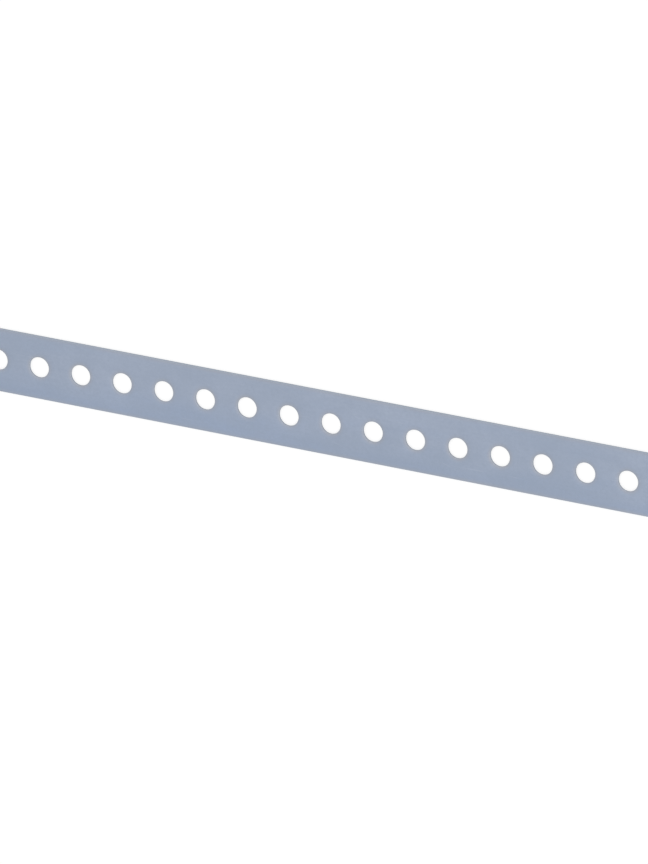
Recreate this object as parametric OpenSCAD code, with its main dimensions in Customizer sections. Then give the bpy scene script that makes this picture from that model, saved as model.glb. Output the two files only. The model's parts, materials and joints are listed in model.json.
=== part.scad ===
// Perforated mounting strap: one flat strip of zinc-plated sheet steel with a row of round holes
// punched along its centre line. It lies on its back, with its length along X, its width along Y
// and its punched side up.

/* [Strip] */
// Length between the cut ends
strap_length = 500; // [100:1:3000]
// Width between the slit edges
strap_width = 20; // [10:0.5:60]
// Thickness of the sheet
strap_thickness = 0.8; // [0.5:0.1:3]
// Radius along the slit edges
edge_radius = 0.15; // [0.05:0.01:0.35]

/* [Holes] */
// Diameter of a hole between its two rims
hole_diameter = 6.5; // [2:0.1:13]
// Distance between the centres of neighbouring holes
hole_pitch = 14; // [8:0.5:100]
// Least distance from a cut end to the centre of the nearest hole
end_margin = 10; // [5:0.5:100]
// Width and depth of the rolled-in rim on the punched side
rim_roll = 0.15; // [0.05:0.01:0.3]
// Width and depth of the broken rim on the back
rim_break = 0.08; // [0.02:0.01:0.3]

/* [Hidden] */
// The row takes as many holes as fit between the end margins, and is centred on the strip
hole_count = floor((strap_length - 2 * end_margin) / hole_pitch) + 1;
first_hole_x = -(hole_count - 1) * hole_pitch / 2;
hole_radius = hole_diameter / 2;
zinc_colour = [0.61, 0.655, 0.725];
$fn = 64;

// Section across the strip, with its back at 0 and its four corners rounded
module strip_section() {
    side_height = strap_thickness - 2 * edge_radius;
    face_width = strap_width - 2 * edge_radius;
    translate([-strap_width / 2, edge_radius]) square([strap_width, side_height]);
    translate([-face_width / 2, 0]) square([face_width, strap_thickness]);
    for (side = [-1, 1], height = [edge_radius, edge_radius + side_height])
        translate([side * face_width / 2, height]) circle(edge_radius);
}

// Strip before punching, centred on the origin
module strip() {
    rotate([90, 0, 90]) linear_extrude(strap_length, center = true) strip_section();
}

// Space of one punched hole about the Z axis: a round wall that opens out at both rims, where each
// slope runs on past its face by its own depth
module hole_space() {
    rotate_extrude() polygon([
        [0, -rim_break],
        [hole_radius + 2 * rim_break, -rim_break],
        [hole_radius, rim_break],
        [hole_radius, strap_thickness - rim_roll],
        [hole_radius + 2 * rim_roll, strap_thickness + rim_roll],
        [0, strap_thickness + rim_roll]
    ]);
}

module strap() {
    color(zinc_colour) difference() {
        strip();
        for (hole = [0 : hole_count - 1])
            translate([first_hole_x + hole * hole_pitch, 0, 0]) hole_space();
    }
}

strap();
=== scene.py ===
import json
import math

import bpy
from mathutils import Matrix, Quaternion, Vector


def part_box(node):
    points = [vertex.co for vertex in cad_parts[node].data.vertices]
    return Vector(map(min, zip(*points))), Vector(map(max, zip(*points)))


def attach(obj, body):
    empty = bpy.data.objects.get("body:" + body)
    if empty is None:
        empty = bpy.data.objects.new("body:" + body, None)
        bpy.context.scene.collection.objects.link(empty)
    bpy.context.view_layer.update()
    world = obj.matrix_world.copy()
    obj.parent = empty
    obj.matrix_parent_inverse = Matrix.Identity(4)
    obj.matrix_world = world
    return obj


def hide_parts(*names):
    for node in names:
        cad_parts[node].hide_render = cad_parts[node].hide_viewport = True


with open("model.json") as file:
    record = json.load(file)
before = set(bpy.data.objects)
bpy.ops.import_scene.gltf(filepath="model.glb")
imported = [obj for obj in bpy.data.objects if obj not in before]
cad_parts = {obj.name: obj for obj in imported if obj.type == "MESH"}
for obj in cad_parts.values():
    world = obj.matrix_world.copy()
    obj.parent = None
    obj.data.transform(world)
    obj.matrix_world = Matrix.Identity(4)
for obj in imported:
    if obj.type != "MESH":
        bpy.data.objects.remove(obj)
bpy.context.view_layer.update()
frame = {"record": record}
stripLow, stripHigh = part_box("strap")
boreMounts = [mount for mount in frame["record"]["mounts"] if mount["kind"] == "bore"]
holeRadius = boreMounts[0]["dims"]["r_mm"] / 1000  # the record gives millimetres
lastHole = max(mount["pos_m"][0] for mount in boreMounts)
print("frame: strap of", [round(side, 4) for side in stripHigh - stripLow], "m")

# The view of the photograph: a long lens that looks down on the flat strap, rolled on its axis
cameraView = {
    "azimuth": 130.635,    # degrees round the strap, 0 looks along +Y
    "elevation": 57.592,   # degrees above the floor
    "roll": -124.519,      # degrees about the line of sight
    "distance": 4.107,     # metres from the lens to the strap
    "lens": 572.8,         # millimetres
    "sensor": 36,          # millimetres over the longer side of the picture
    "farClip": 100,        # metres
    "aimX": -0.00213,      # where the middle of the picture meets the top face
    "aimY": -0.00296,
}


def addCamera(view):
    turn, lift = math.radians(view["azimuth"]), math.radians(view["elevation"])
    level = math.cos(lift)
    towards = Vector((math.sin(turn) * level, -math.cos(turn) * level, math.sin(lift)))
    lensData = bpy.data.cameras.new("photoCamera")
    lensData.lens = view["lens"]
    lensData.sensor_width = view["sensor"]
    lensData.clip_end = view["farClip"]
    camera = bpy.data.objects.new("photoCamera", lensData)
    bpy.context.scene.collection.objects.link(camera)
    camera.location = Vector((view["aimX"], view["aimY"], stripHigh.z)) + towards * view["distance"]
    camera.rotation_mode = "QUATERNION"
    rollTurn = Quaternion((0, 0, 1), math.radians(view["roll"]))
    camera.rotation_quaternion = (-towards).to_track_quat("-Z", "Y") @ rollTurn
    bpy.context.scene.camera = camera


addCamera(cameraView)
bpy.context.scene.view_settings.view_transform = "Standard"
print("camera: set")


# Node helpers: a value is either a number for a socket or the socket to link to it
def setInput(tree, socket, value):
    if isinstance(value, bpy.types.NodeSocket):
        tree.links.new(value, socket)
    else:
        socket.default_value = value


def addNode(tree, kind, settings=None, **inputs):
    node = tree.nodes.new(kind)
    for key, value in (settings or {}).items():
        setattr(node, key, value)
    for key, value in inputs.items():
        setInput(tree, node.inputs[key], value)
    return node


def addMath(tree, operation, *values):
    node = addNode(tree, "ShaderNodeMath", {"operation": operation})
    for socket, value in zip(node.inputs, values):
        setInput(tree, socket, value)
    return node.outputs[0]


def addStretch(tree, vector, scale):
    node = addNode(tree, "ShaderNodeVectorMath", {"operation": "MULTIPLY"})
    setInput(tree, node.inputs[0], vector)
    setInput(tree, node.inputs[1], scale)
    return node.outputs[0]


def addMapRange(tree, value, fromLow, fromHigh, toLow=0.0, toHigh=1.0):
    node = addNode(tree, "ShaderNodeMapRange")
    for socket, number in zip(node.inputs, (value, fromLow, fromHigh, toLow, toHigh)):
        setInput(tree, socket, number)
    return node.outputs["Result"]


def addMix(tree, factor, first, second):
    node = addNode(tree, "ShaderNodeMix", {"data_type": "RGBA"})
    setInput(tree, node.inputs["Factor"], factor)
    setInput(tree, node.inputs["A"], first)
    setInput(tree, node.inputs["B"], second)
    return node.outputs["Result"]


def addTint(tree, tone, mask, share, tint):
    return addMix(tree, addMath(tree, "MULTIPLY", mask, share), tone, tint)


def addBlend(tree, first, firstShare, second, secondShare):
    added = addMath(tree, "MULTIPLY", second, secondShare)
    return addMath(tree, "MULTIPLY_ADD", first, firstShare, added)


def addShaderMix(tree, factor, first, second):
    node = addNode(tree, "ShaderNodeMixShader")
    for socket, value in zip(node.inputs, (factor, first, second)):
        setInput(tree, socket, value)
    return node.outputs[0]


def addGroup(name, inputs, outputs):
    group = bpy.data.node_groups.new(name, "ShaderNodeTree")
    for label, (kind, value) in inputs.items():
        socket = group.interface.new_socket(label, in_out="INPUT", socket_type=kind)
        socket.default_value = value
    for label in outputs:
        group.interface.new_socket(label, in_out="OUTPUT", socket_type="NodeSocketFloat")
    entry = group.nodes.new("NodeGroupInput")
    leave = group.nodes.new("NodeGroupOutput")
    return group, entry.outputs, leave.inputs


def placeGroup(tree, group, inputs):
    node = addNode(tree, "ShaderNodeGroup", {"node_tree": group})
    for key, value in inputs.items():
        setInput(tree, node.inputs[key], value)
    return node.outputs


def stripPosition(tree):
    return addNode(tree, "ShaderNodeTexCoord").outputs["Object"]


# Studio: a white floor that keeps a soft contact shadow, a white dome and a broad softbox overhead
studio = {
    "floorSize": 60.0,
    "floorDrop": 0.00004,  # below the strap's back, so that the two don't coincide
    "floorWhite": 0.96,
    "floorGlow": 0.72,     # share of plain white that the lens and the metal see in the floor
    "domeStrength": 1.0,
    "topPower": 110.0,     # watts
    "topSize": 8.7,        # metres a side
    "topPlace": (1.14, 0.75, 6.0),  # far off, so that the light is even along the strap
}
plainWhite = (1, 1, 1, 1)  # as bright as the picture's white at a strength of 1


def whiteForLens(tree):
    rays = addNode(tree, "ShaderNodeLightPath").outputs
    seen = addMath(tree, "MAXIMUM", rays["Is Camera Ray"], rays["Is Glossy Ray"])
    return addMath(tree, "MAXIMUM", seen, rays["Is Transmission Ray"])


def addFloor(size, drop, white, glow):
    half = size / 2
    mesh = bpy.data.meshes.new("studioFloor")
    corners = [(-half, -half, -drop), (half, -half, -drop), (half, half, -drop), (-half, half, -drop)]
    mesh.from_pydata(corners, [], [(0, 1, 2, 3)])
    floor = bpy.data.objects.new("studioFloor", mesh)
    bpy.context.scene.collection.objects.link(floor)
    material = bpy.data.materials.new("studioFloorWhite")
    material.use_nodes = True
    tree = material.node_tree
    tree.nodes.clear()
    paint = addNode(tree, "ShaderNodeBsdfDiffuse", Color=(white, white, white, 1))
    plain = addNode(tree, "ShaderNodeEmission", Color=plainWhite, Strength=1.0)
    share = addMath(tree, "MULTIPLY", whiteForLens(tree), glow)
    mixed = addShaderMix(tree, share, paint.outputs[0], plain.outputs[0])
    addNode(tree, "ShaderNodeOutputMaterial", Surface=mixed)
    mesh.materials.append(material)


def addDome(strength):
    world = bpy.data.worlds.new("studioDome")
    bpy.context.scene.world = world
    world.use_nodes = True
    tree = world.node_tree
    tree.nodes.clear()
    dome = addNode(tree, "ShaderNodeBackground", Color=plainWhite, Strength=strength)
    plain = addNode(tree, "ShaderNodeBackground", Color=plainWhite, Strength=1.0)
    mixed = addShaderMix(tree, whiteForLens(tree), dome.outputs[0], plain.outputs[0])
    addNode(tree, "ShaderNodeOutputWorld", Surface=mixed)


def addSoftbox(name, power, size, place):
    lampData = bpy.data.lights.new(name, "AREA")
    lampData.energy = power
    lampData.shape = "SQUARE"
    lampData.size = size
    lamp = bpy.data.objects.new(name, lampData)
    bpy.context.scene.collection.objects.link(lamp)
    lamp.location = place
    lamp.rotation_euler = (-Vector(place)).to_track_quat("-Z", "Y").to_euler()


addFloor(studio["floorSize"], studio["floorDrop"], studio["floorWhite"], studio["floorGlow"])
addDome(studio["domeStrength"])
addSoftbox("topSoftbox", studio["topPower"], studio["topSize"], studio["topPlace"])
print("studio: floor, dome and softbox")

# Punched strip, in metres: what the press, the slitter and the shears leave on the sheet
strapShape = {
    "holePitch": 0.014,
    "rimDishWidth": 0.0021,     # shallow dish that the punch draws the sheet into
    "rimDishDepth": 0.00009,
    "rimDishSteps": 6,
    "rimRollWidth": 0.0003,     # rounded where the punch entered
    "rimRollDepth": 0.00006,
    "rimRollSteps": 6,
    "burnishedShare": 0.4,      # of the wall below the roll, before it tears
    "tearFlare": 0.00003,       # how much wider the torn stretch is
    "rimBreak": 0.00008,        # on the back
    "edgeRadius": 0.00015,      # along the slit edges
    "edgeSteps": 5,
    "endBevel": 0.00005,        # where the shears cut
    "sideSteps": 20,            # mesh steps over a cell's width and its length
    "lengthSteps": 12,
    "sharpAngle": 40,           # degrees, past which an edge of the mesh isn't smoothed
    "flatSpreads": (1.0, 0.7, 0.42, 0.2, 0.06),  # rings of the flat, from the cell's border to the rim
    "mapSide": 0.1755,          # metres of strap over the side of the texture map
    "mapRows": 3,               # rows that each face is laid out in
    "mapGap": 0.0006,
}
finishFace, finishWall, finishEdge = 0, 1, 2  # the strap's material slots
tiny = 1e-9      # metres, to tell whether a point is on a border
pointDigits = 8  # points that agree to this many digits are one


def roundCorner(width, depth, steps):
    # Quarter of an ellipse, as (in from the outer point, down from the face), from the face on
    turns = [math.pi / 2 * i / steps for i in range(steps + 1)]
    return [(width * (1 - math.sin(turn)), depth * (1 - math.cos(turn))) for turn in turns]


def holeProfile(shape, thickness):
    # From the top face down the wall to the back, as (radius, height, finish of the band above)
    rollWidth, rollDepth = shape["rimRollWidth"], shape["rimRollDepth"]
    dishWidth, dishDepth, steps = shape["rimDishWidth"], shape["rimDishDepth"], shape["rimDishSteps"]
    dish = [(dishWidth + (rollWidth - dishWidth) * i / steps, 0.0) for i in range(steps)]
    profile = []
    for inward, down in dish + roundCorner(rollWidth, rollDepth, shape["rimRollSteps"]):
        sag = dishDepth * (1 - inward / dishWidth) ** 2
        profile.append((holeRadius + inward, thickness - down - sag, finishFace))
    wallTop = thickness - rollDepth - dishDepth
    tearTop = wallTop - (wallTop - shape["rimBreak"]) * shape["burnishedShare"]
    profile.append((holeRadius, tearTop, finishWall))
    profile.append((holeRadius + shape["tearFlare"], shape["rimBreak"], finishWall))
    profile.append((holeRadius + shape["rimBreak"], 0.0, finishWall))
    return profile


def edgeProfile(shape, thickness):
    # From the top face round the slit edge to the back, as (out from the flat, height)
    radius = shape["edgeRadius"]
    corner = roundCorner(radius, radius, shape["edgeSteps"])
    above = [(radius - inward, thickness - down) for inward, down in corner]
    return above + [(out, thickness - height) for out, height in reversed(above)]


def runLengths(profile):
    # Length along a profile at each of its points
    lengths = [0.0]
    for before, after in zip(profile, profile[1:]):
        lengths.append(lengths[-1] + math.dist(before[:2], after[:2]))
    return lengths


def cellAngles(halfLength, halfWidth, shape):
    # Directions round a hole that put a point on each corner of its cell
    corner = math.atan2(halfWidth, halfLength)
    spans = [(-corner, corner, shape["sideSteps"]), (corner, math.pi - corner, shape["lengthSteps"])]
    spans += [(low + math.pi, high + math.pi, steps) for low, high, steps in spans]
    return [low + (high - low) * i / steps for low, high, steps in spans for i in range(steps)]


def cellBorder(angle, halfLength, halfWidth):
    # Where a direction from the hole's centre meets the border of its cell
    along, across = math.cos(angle), math.sin(angle)
    reach = min(halfLength / max(abs(along), tiny), halfWidth / max(abs(across), tiny))
    return reach * along, reach * across


class punchedStrip:
    # Collects the strip's points once each, and its faces with their finish and place on the map
    def __init__(self, shape):
        holeRow = [mount["pos_m"][0] for mount in boreMounts]
        self.shape = shape
        self.thickness = stripHigh.z - stripLow.z
        self.firstHole = min(holeRow)
        self.lastHole = lastHole
        self.holeCount = round((self.lastHole - self.firstHole) / shape["holePitch"]) + 1
        self.halfLength = shape["holePitch"] / 2
        self.halfWidth = stripHigh.y - shape["edgeRadius"]
        self.angles = cellAngles(self.halfLength, self.halfWidth, shape)
        self.border = [cellBorder(angle, self.halfLength, self.halfWidth) for angle in self.angles]
        self.rim = holeProfile(shape, self.thickness)
        self.rimRun = runLengths(self.rim)
        self.edge = edgeProfile(shape, self.thickness)
        self.edgeRun = runLengths(self.edge)
        self.cellsInRow = math.ceil(self.holeCount / shape["mapRows"])
        self.points, self.known = [], {}
        self.faces, self.finishes, self.spots = [], [], []

    def mapSpot(self, x, y, row, back):
        # Rows of the top face first, then those of the back, each from the start of its first cell
        gap = self.shape["mapGap"]
        halfRow = stripHigh.y + self.edgeRun[-1]
        start = self.firstHole - self.halfLength + row * self.cellsInRow * self.shape["holePitch"]
        if row == 0:
            start = stripLow.x - self.thickness
        across = y + halfRow + (row + self.shape["mapRows"] * back) * (2 * halfRow + gap)
        return (x - start + gap) / self.shape["mapSide"], (across + gap) / self.shape["mapSide"]

    def addPoint(self, place):
        key = tuple(round(value, pointDigits) for value in place)
        if key not in self.known:
            self.known[key] = len(self.points)
            self.points.append(key)
        return self.known[key]

    def addFace(self, corners, finish):
        self.faces.append([self.addPoint(place) for place, spot in corners])
        self.spots.extend(spot for place, spot in corners)
        self.finishes.append(finish)

    def addBand(self, first, second, finish, closed=False):
        for i in range(len(first) if closed else len(first) - 1):
            j = (i + 1) % len(first)
            self.addFace([first[i], first[j], second[j], second[i]], finish)

    def ring(self, cell, radius, height, mapRadius, spread, back):
        # Points round a hole: a circle, drawn out towards the cell's border by spread
        centre, row = cell
        points = []
        for angle, (borderX, borderY) in zip(self.angles, self.border):
            along, across = (1 - spread) * math.cos(angle), (1 - spread) * math.sin(angle)
            outX, outY = spread * borderX, spread * borderY
            place = (centre + radius * along + outX, radius * across + outY, height)
            mapX, mapY = centre + mapRadius * along + outX, mapRadius * across + outY
            points.append((place, self.mapSpot(mapX, mapY, row, back)))
        return points

    def addHole(self, cell):
        # Top face of the cell, from its border in, then down the wall of the hole and out over the back
        spreads = self.shape["flatSpreads"]
        outer, inner = self.rim[0][0], self.rim[-1][0]
        rings = [self.ring(cell, outer, self.thickness, outer, spread, False) for spread in spreads]
        for (radius, height, finish), run in zip(self.rim, self.rimRun):
            rings.append(self.ring(cell, radius, height, outer - run, 0.0, False))
        finishes = [finishFace] * len(spreads) + [finish for radius, height, finish in self.rim[1:]]
        for before, after, finish in zip(rings, rings[1:], finishes):
            self.addBand(before, after, finish, closed=True)
        back = [self.ring(cell, inner, 0.0, inner, spread, True) for spread in (0.0, *reversed(spreads))]
        for before, after in zip(back, back[1:]):
            self.addBand(before, after, finishFace, closed=True)

    def edgeLine(self, x, side, row):
        # Points round a slit edge at one place along the strip, unrolled on the map beyond the top face
        line = []
        for (out, height), run in zip(self.edge, self.edgeRun):
            spot = self.mapSpot(x, side * (self.halfWidth + run), row, False)
            line.append(((x, side * (self.halfWidth + out), height), spot))
        return line

    def addSlitEdges(self, cell):
        centre, row = cell
        for side in (-1, 1):
            columns = [x for x, y in self.border if y * side > self.halfWidth - tiny]
            lines = [self.edgeLine(centre + x, side, row) for x in sorted(columns, reverse=side > 0)]
            for before, after in zip(lines, lines[1:]):
                self.addBand(before, after, finishEdge)

    def sectionAt(self, x, row, inset):
        # Top face, back and both slit edges at one place beyond the last hole, drawn in by inset
        widths = sorted(y for borderX, y in self.border if borderX > self.halfLength - tiny)
        middle = self.thickness / 2
        scaleY, scaleZ = 1 - inset / stripHigh.y, 1 - inset / middle
        top = [((x, y, self.thickness), self.mapSpot(x, y, row, False)) for y in widths]
        back = [((x, y, 0.0), self.mapSpot(x, y, row, True)) for y in widths]
        lines = [top, back, self.edgeLine(x, -1, row), self.edgeLine(x, 1, row)]
        return [[((place[0], place[1] * scaleY, middle + (place[2] - middle) * scaleZ), spot)
                 for place, spot in line] for line in lines]

    def addEnd(self, end):
        row = 0 if end < 0 else self.shape["mapRows"] - 1
        bevel = self.shape["endBevel"]
        outer = stripHigh.x if end > 0 else stripLow.x
        lastCell = self.lastHole + self.halfLength if end > 0 else self.firstHole - self.halfLength
        near = self.sectionAt(lastCell, row, 0.0)
        far = self.sectionAt(outer - end * bevel, row, 0.0)
        cut = self.sectionAt(outer, row, bevel)
        for before, after, finish in ((near, far, finishFace), (far, cut, finishEdge)):
            if end < 0:
                before, after = after, before
            self.addBand(after[0], before[0], finish)
            self.addBand(before[1], after[1], finish)
            self.addBand(before[2], after[2], finishEdge)
            self.addBand(after[3], before[3], finishEdge)
        self.addCut(cut, end)

    def addCut(self, section, end):
        # The sheared face of an end
        top, back, low, high = section
        for i in range(len(top) - 1):
            corners = [top[i], back[i], back[i + 1], top[i + 1]]
            self.addFace(corners if end > 0 else corners[::-1], finishEdge)
        self.addFace(low if end > 0 else low[::-1], finishEdge)
        self.addFace(high if end < 0 else high[::-1], finishEdge)

    def toObject(self, name):
        mesh = bpy.data.meshes.new(name)
        mesh.from_pydata(self.points, [], self.faces)
        mesh.polygons.foreach_set("material_index", self.finishes)
        mesh.polygons.foreach_set("use_smooth", [True] * len(self.faces))
        layout = mesh.uv_layers.new(name="OFBake")
        layout.uv.foreach_set("vector", [value for spot in self.spots for value in spot])
        mesh.set_sharp_from_angle(angle=math.radians(self.shape["sharpAngle"]))
        mesh.update()
        made = bpy.data.objects.new(name, mesh)
        bpy.context.scene.collection.objects.link(made)
        flat = made.modifiers.new("flatToTheEdge", "WEIGHTED_NORMAL")
        flat.keep_sharp = True
        return made


def buildStrap(shape):
    strip = punchedStrip(shape)
    for number in range(strip.holeCount):
        cell = (strip.firstHole + number * shape["holePitch"], number // strip.cellsInRow)
        strip.addHole(cell)
        strip.addSlitEdges(cell)
    strip.addEnd(-1)
    strip.addEnd(1)
    print("strap:", strip.holeCount, "holes,", len(strip.points), "points,", len(strip.faces), "faces")
    return strip.toObject("perforatedStrap")


strap = buildStrap(strapShape)


# Streaks that rolling, punching or slitting draws in the metal, long where the scale is small
streakNoise = {
    "detail": 5.0,
    "roughness": 0.68,
    "darkToLight": (0.25, 0.75),
    "lineScale": 2.2,
    "lineSeed": 7.3,
    "lineStart": (0.74, 0.80),   # noise above this is a hairline
    "gapScale": 140.0,
    "gapDetail": 1.0,
    "gapEnd": (0.5, 0.62),       # noise below this breaks the hairlines up
}


def makeDrawnStreaks(noise):
    tree, given, put = addGroup("drawnStreaks", {
        "Scale": ("NodeSocketVector", (14.0, 1500.0, 1500.0)),
        "Turn": ("NodeSocketFloat", 0.0),
    }, ("Streak", "Scratch"))
    turned = addNode(tree, "ShaderNodeVectorRotate", {"rotation_type": "Z_AXIS"},
                     Vector=stripPosition(tree), Angle=given["Turn"]).outputs[0]
    drawn = addStretch(tree, turned, given["Scale"])
    fine = addNode(tree, "ShaderNodeTexNoise", Vector=drawn, Scale=1.0,
                   Detail=noise["detail"], Roughness=noise["roughness"])
    lines = addNode(tree, "ShaderNodeTexNoise", {"noise_dimensions": "4D"}, Vector=drawn,
                    W=noise["lineSeed"], Scale=noise["lineScale"], Detail=0.0)
    gaps = addNode(tree, "ShaderNodeTexNoise", Vector=turned,
                   Scale=noise["gapScale"], Detail=noise["gapDetail"])
    thin = addMapRange(tree, lines.outputs["Fac"], *noise["lineStart"])
    broken = addMapRange(tree, gaps.outputs["Fac"], *noise["gapEnd"])
    tree.links.new(addMapRange(tree, fine.outputs["Fac"], *noise["darkToLight"]), put["Streak"])
    tree.links.new(addMath(tree, "MULTIPLY", thin, broken), put["Scratch"])
    return tree


# Plating: clouds from the bath, the small crystals that the zinc sets in, and a few dull specks
bloomNoise = {
    "cloudDetail": 3.0,
    "cloudRoughness": 0.55,
    "darkToLight": (0.3, 0.7),
    "speckChance": (0.66, 0.72),  # cells above this have a speck
    "speckSize": (0.03, 0.07),    # share of a cell in which a speck fades out
}


def makeZincBloom(noise):
    tree, given, put = addGroup("zincBloom", {
        "Cloud Scale": ("NodeSocketVector", (30.0, 90.0, 90.0)),
        "Crystal Scale": ("NodeSocketFloat", 1500.0),
        "Speck Scale": ("NodeSocketFloat", 260.0),
    }, ("Cloud", "Crystal", "Speck"))
    place = stripPosition(tree)
    drawn = addStretch(tree, place, given["Cloud Scale"])
    cloud = addNode(tree, "ShaderNodeTexNoise", Vector=drawn, Scale=1.0,
                    Detail=noise["cloudDetail"], Roughness=noise["cloudRoughness"])
    crystal = addNode(tree, "ShaderNodeTexVoronoi", Vector=place, Scale=given["Crystal Scale"])
    shade = addNode(tree, "ShaderNodeSeparateColor", Color=crystal.outputs["Color"])
    speck = addNode(tree, "ShaderNodeTexVoronoi", Vector=place, Scale=given["Speck Scale"])
    chance = addNode(tree, "ShaderNodeSeparateColor", Color=speck.outputs["Color"])
    rare = addMapRange(tree, chance.outputs[0], *noise["speckChance"])
    dot = addMapRange(tree, speck.outputs["Distance"], *noise["speckSize"], 1.0, 0.0)
    tree.links.new(addMapRange(tree, cloud.outputs["Fac"], *noise["darkToLight"]), put["Cloud"])
    tree.links.new(shade.outputs[0], put["Crystal"])
    tree.links.new(addMath(tree, "MULTIPLY", dot, rare), put["Speck"])
    return tree


# How near a place is to the rim of the nearest hole, and to the outline: 1 there, 0 past the reach
def makeRubbedRims():
    tree, given, put = addGroup("rubbedRims", {
        "Pitch": ("NodeSocketFloat", 0.014),
        "Last Hole": ("NodeSocketFloat", 0.238),
        "Hole Radius": ("NodeSocketFloat", 0.00325),
        "Half Length": ("NodeSocketFloat", 0.25),
        "Half Width": ("NodeSocketFloat", 0.01),
        "Reach": ("NodeSocketFloat", 0.0006),
    }, ("Rim", "Edge"))
    place = addNode(tree, "ShaderNodeSeparateXYZ", Vector=stripPosition(tree)).outputs
    firstHole = addMath(tree, "MULTIPLY", given["Last Hole"], -1.0)
    inRow = addMath(tree, "MINIMUM", addMath(tree, "MAXIMUM", place["X"], firstHole), given["Last Hole"])
    stepUp = addMath(tree, "MULTIPLY_ADD", given["Pitch"], 0.5, inRow)
    along = addMath(tree, "SUBTRACT", place["X"], addMath(tree, "SNAP", stepUp, given["Pitch"]))
    squareY = addMath(tree, "MULTIPLY", place["Y"], place["Y"])
    fromCentre = addMath(tree, "SQRT", addMath(tree, "MULTIPLY_ADD", along, along, squareY))
    fromRim = addMath(tree, "SUBTRACT", fromCentre, given["Hole Radius"])
    fromSide = addMath(tree, "SUBTRACT", given["Half Width"], addMath(tree, "ABSOLUTE", place["Y"]))
    fromEnd = addMath(tree, "SUBTRACT", given["Half Length"], addMath(tree, "ABSOLUTE", place["X"]))
    fromEdge = addMath(tree, "MINIMUM", fromSide, fromEnd)
    for distance, label in ((fromRim, "Rim"), (fromEdge, "Edge")):
        share = addMath(tree, "DIVIDE", distance, given["Reach"])
        near = addMapRange(tree, share, 0.0, 1.0, 1.0, 0.0)
        tree.links.new(addMath(tree, "MULTIPLY", near, near), put[label])
    return tree


# Where a cut tore: below the band that the punch or the blade burnished, with a ragged line between
def makeTornZone():
    tree, given, put = addGroup("tornZone", {
        "Streak": ("NodeSocketFloat", 0.5),
        "Below": ("NodeSocketFloat", 0.0004),
        "Ragged": ("NodeSocketFloat", 0.00012),
        "Blur": ("NodeSocketFloat", 0.00008),
    }, ("Torn",))
    height = addNode(tree, "ShaderNodeSeparateXYZ", Vector=stripPosition(tree)).outputs["Z"]
    ragged = addMath(tree, "MULTIPLY_ADD", given["Streak"], given["Ragged"], height)
    smoothFrom = addMath(tree, "ADD", given["Below"], given["Blur"])
    tree.links.new(addMapRange(tree, ragged, smoothFrom, given["Below"]), put["Torn"])
    return tree


drawnStreaks, zincBloom = makeDrawnStreaks(streakNoise), makeZincBloom(bloomNoise)
rubbedRims, tornZone = makeRubbedRims(), makeTornZone()
print("node groups: streaks, bloom, rims and torn cuts")


def startMetal(name):
    material = bpy.data.materials.new(name)
    material.use_nodes = True
    tree = material.node_tree
    tree.nodes.clear()
    metal = addNode(tree, "ShaderNodeBsdfPrincipled", Metallic=1.0)
    addNode(tree, "ShaderNodeOutputMaterial", Surface=metal.outputs[0])
    return material, tree, metal


def roughen(tree, metal, look, rough, height):
    # Roughness between the look's two limits, and the relief that goes with it
    limited = addMapRange(tree, rough, 0.0, 1.0, look["roughLow"], look["roughHigh"])
    tree.links.new(limited, metal.inputs["Roughness"])
    bump = addNode(tree, "ShaderNodeBump", Strength=look["bumpStrength"],
                   Distance=look["bumpHeight"], Height=height)
    tree.links.new(bump.outputs[0], metal.inputs["Normal"])


# Rolled and zinc-plated face of the sheet, its tone painted lighter and greyer towards the +Y edge as a
# sheen
platedFace = {
    "paintedSheenGrey": (0.348, 0.396, 0.493, 1),    # painted sheen: the lighter, greyer tone over the +Y half of the strip
    "blueTone": (0.291, 0.354, 0.477, 1),    # towards the -Y edge, where the painted sheen has faded
    "paintedSheenFrom": -0.0085,                    # where along Y the blue starts to turn to the painted sheen's grey
    "paintedSheenTo": 0.0005,                       # and where it has
    "cloudShare": 0.9,                       # how far the clouds lean it to either side
    "hazeTone": (0.284, 0.333, 0.422, 1),
    "hazeShare": 0.52,
    "swellTone": (0.284, 0.333, 0.422, 1),
    "swellShare": 0.6,
    "streakTone": (0.265, 0.310, 0.396, 1),
    "streakShare": 0.12,
    "crystalTone": (0.277, 0.323, 0.408, 1),
    "crystalShare": 0.36,
    "rubbedTone": (0.359, 0.340, 0.326, 1),  # steel that shows through by the rims and edges
    "rubbedShare": 0.5,
    "scratchTone": (0.436, 0.477, 0.548, 1),
    "scratchShare": 0.3,
    "speckTone": (0.230, 0.269, 0.339, 1),
    "speckShare": 0.35,
    "grain": (14.0, 1500.0, 1500.0),
    "scuffs": (40.0, 2200.0, 2200.0),
    "scuffTurn": 0.32,                       # radians off the grain
    "clouds": (28.0, 95.0, 95.0),
    "haze": (75.0, 115.0, 115.0),
    "swells": (22.0, 30.0, 30.0),
    "crystals": 1500.0,
    "rimReach": 0.0016,
    "leastWorn": 0.5,                        # share of the wear that stays where clouds break it up
    "crystalRelief": 0.4,
    "streakRelief": 0.6,
    "roughLow": 0.36,
    "roughHigh": 0.50,
    "bumpStrength": 0.5,
    "bumpHeight": 0.000014,
}


def cloudsAndPaintedSheen(tree, look, cloud):
    # Painted sheen: from blue to a lighter grey across the strip, standing in for how the light falls on
    # it, which the clouds lean to either side
    across = addNode(tree, "ShaderNodeSeparateXYZ", Vector=stripPosition(tree)).outputs["Y"]
    paintedSheen = addMapRange(tree, across, look["paintedSheenFrom"], look["paintedSheenTo"])
    cloudy = addMath(tree, "SUBTRACT", cloud, 0.5)
    grey = addMath(tree, "MULTIPLY_ADD", cloudy, look["cloudShare"], paintedSheen)
    return addMix(tree, grey, look["blueTone"], look["paintedSheenGrey"])


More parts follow.
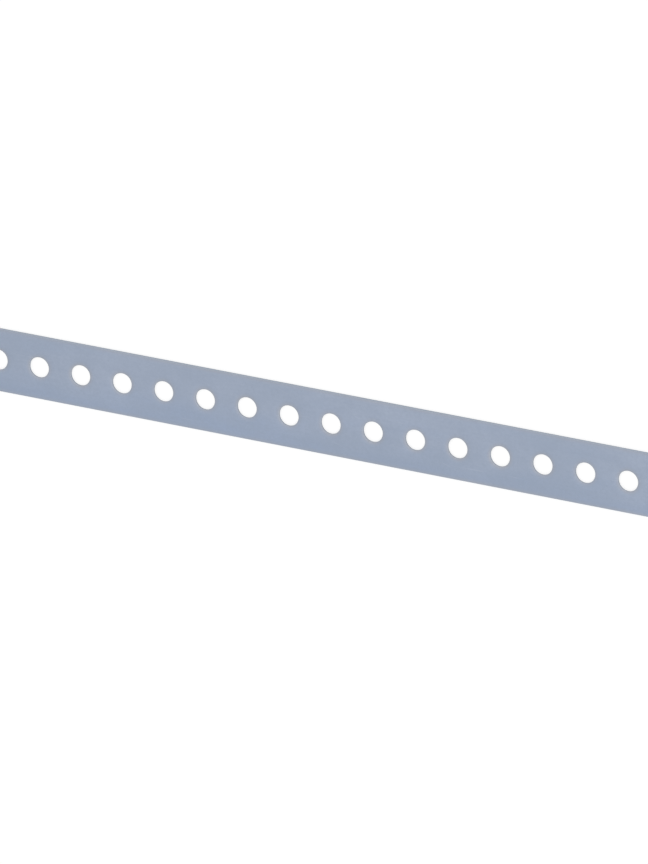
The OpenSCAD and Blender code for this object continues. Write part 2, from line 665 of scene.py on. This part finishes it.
def wornPlaces(tree, look, cloud):
    rims = placeGroup(tree, rubbedRims, {
        "Pitch": strapShape["holePitch"], "Last Hole": lastHole, "Hole Radius": holeRadius,
        "Half Length": stripHigh.x, "Half Width": stripHigh.y, "Reach": look["rimReach"]})
    broken = addMapRange(tree, cloud, 0.0, 1.0, look["leastWorn"], 1.0)
    return addMath(tree, "MULTIPLY", addMath(tree, "MAXIMUM", rims["Rim"], rims["Edge"]), broken)


def makePlatedFace(look):
    material, tree, metal = startMetal("platedFace")
    streaks = placeGroup(tree, drawnStreaks, {"Scale": look["grain"]})
    scuffs = placeGroup(tree, drawnStreaks, {"Scale": look["scuffs"], "Turn": look["scuffTurn"]})
    bloom = placeGroup(tree, zincBloom, {
        "Cloud Scale": look["clouds"], "Crystal Scale": look["crystals"]})
    hairlines = addMath(tree, "MAXIMUM", streaks["Scratch"], scuffs["Scratch"])
    masks = {
        "swell": placeGroup(tree, zincBloom, {"Cloud Scale": look["swells"]})["Cloud"],
        "haze": placeGroup(tree, zincBloom, {"Cloud Scale": look["haze"]})["Cloud"],
        "streak": streaks["Streak"],
        "crystal": bloom["Crystal"],
        "speck": bloom["Speck"],
        "rubbed": wornPlaces(tree, look, bloom["Cloud"]),
        "scratch": hairlines,
    }
    # Base tone: real clouds of the plating, with a painted sheen lighter towards the +Y edge
    tone = cloudsAndPaintedSheen(tree, look, bloom["Cloud"])
    for name, mask in masks.items():
        tone = addTint(tree, tone, mask, look[name + "Share"], look[name + "Tone"])
    tree.links.new(tone, metal.inputs["Base Color"])
    texture = addBlend(tree, bloom["Crystal"], look["crystalRelief"],
                       streaks["Streak"], look["streakRelief"])
    roughen(tree, metal, look, texture, addMath(tree, "SUBTRACT", texture, hairlines))
    return material


def placeCut(tree, look):
    # What both kinds of cut show: the tool's marks, some bloom and a torn zone
    marks = placeGroup(tree, drawnStreaks, {"Scale": look["marks"]})["Streak"]
    bloom = placeGroup(tree, zincBloom, {
        "Cloud Scale": look["clouds"], "Crystal Scale": look["crystals"]})
    torn = placeGroup(tree, tornZone, {
        "Streak": marks, "Below": look["tornBelow"], "Ragged": look["ragged"]})["Torn"]
    return marks, bloom, torn


def finishCut(tree, metal, look, tone, cut):
    marks, bloom, torn = cut
    tree.links.new(tone, metal.inputs["Base Color"])
    rough = addBlend(tree, torn, look["tornRough"], marks, look["markRough"])
    pitted = addMath(tree, "MULTIPLY", torn, bloom["Crystal"])
    roughen(tree, metal, look, rough, addMath(tree, "MULTIPLY_ADD", pitted, look["pitRelief"], marks))


# Wall of a punched hole: a burnished band above, torn and duller below
punchedWall = {
    "burnishedTone": (0.347, 0.382, 0.449, 1),
    "tornTone": (0.267, 0.294, 0.347, 1),
    "tornBelow": 0.00040,
    "ragged": 0.00012,
    "dullShare": 0.3,
    "marks": (2200.0, 2200.0, 120.0),
    "clouds": (300.0, 300.0, 300.0),
    "crystals": 5000.0,
    "tornRough": 0.6,
    "markRough": 0.4,
    "pitRelief": 0.7,
    "roughLow": 0.30,
    "roughHigh": 0.55,
    "bumpStrength": 0.5,
    "bumpHeight": 0.00002,
}


def makePunchedWall(look):
    material, tree, metal = startMetal("punchedWall")
    marks, bloom, torn = placeCut(tree, look)
    tone = addMix(tree, torn, look["burnishedTone"], look["tornTone"])
    tone = addTint(tree, tone, bloom["Cloud"], look["dullShare"], platedFace["blueTone"])
    finishCut(tree, metal, look, tone, (marks, bloom, torn))
    return material


# Slit edges and sheared ends, cut like the holes but plated over in part
slitEdge = {
    "platedTone": (0.308, 0.358, 0.440, 1),
    "cutTone": (0.352, 0.392, 0.458, 1),
    "tornTone": (0.265, 0.303, 0.365, 1),
    "tornShare": 0.6,
    "tornBelow": 0.00032,
    "ragged": 0.00014,
    "marks": (1300.0, 1300.0, 160.0),
    "clouds": (120.0, 200.0, 900.0),
    "crystals": 4000.0,
    "cloudBare": 0.5,
    "markBare": 0.4,
    "tornRough": 0.5,
    "markRough": 0.5,
    "pitRelief": 0.6,
    "roughLow": 0.34,
    "roughHigh": 0.58,
    "bumpStrength": 0.5,
    "bumpHeight": 0.000016,
}


def makeSlitEdge(look):
    material, tree, metal = startMetal("slitEdge")
    marks, bloom, torn = placeCut(tree, look)
    bare = addBlend(tree, bloom["Cloud"], look["cloudBare"], marks, look["markBare"])
    tone = addMix(tree, bare, look["platedTone"], look["cutTone"])
    tone = addTint(tree, tone, torn, look["tornShare"], look["tornTone"])
    finishCut(tree, metal, look, tone, (marks, bloom, torn))
    return material


for finish in (makePlatedFace(platedFace), makePunchedWall(punchedWall), makeSlitEdge(slitEdge)):
    strap.data.materials.append(finish)
print("finishes: plated face, punched wall and slit edge")

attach(strap, "root")
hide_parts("strap")
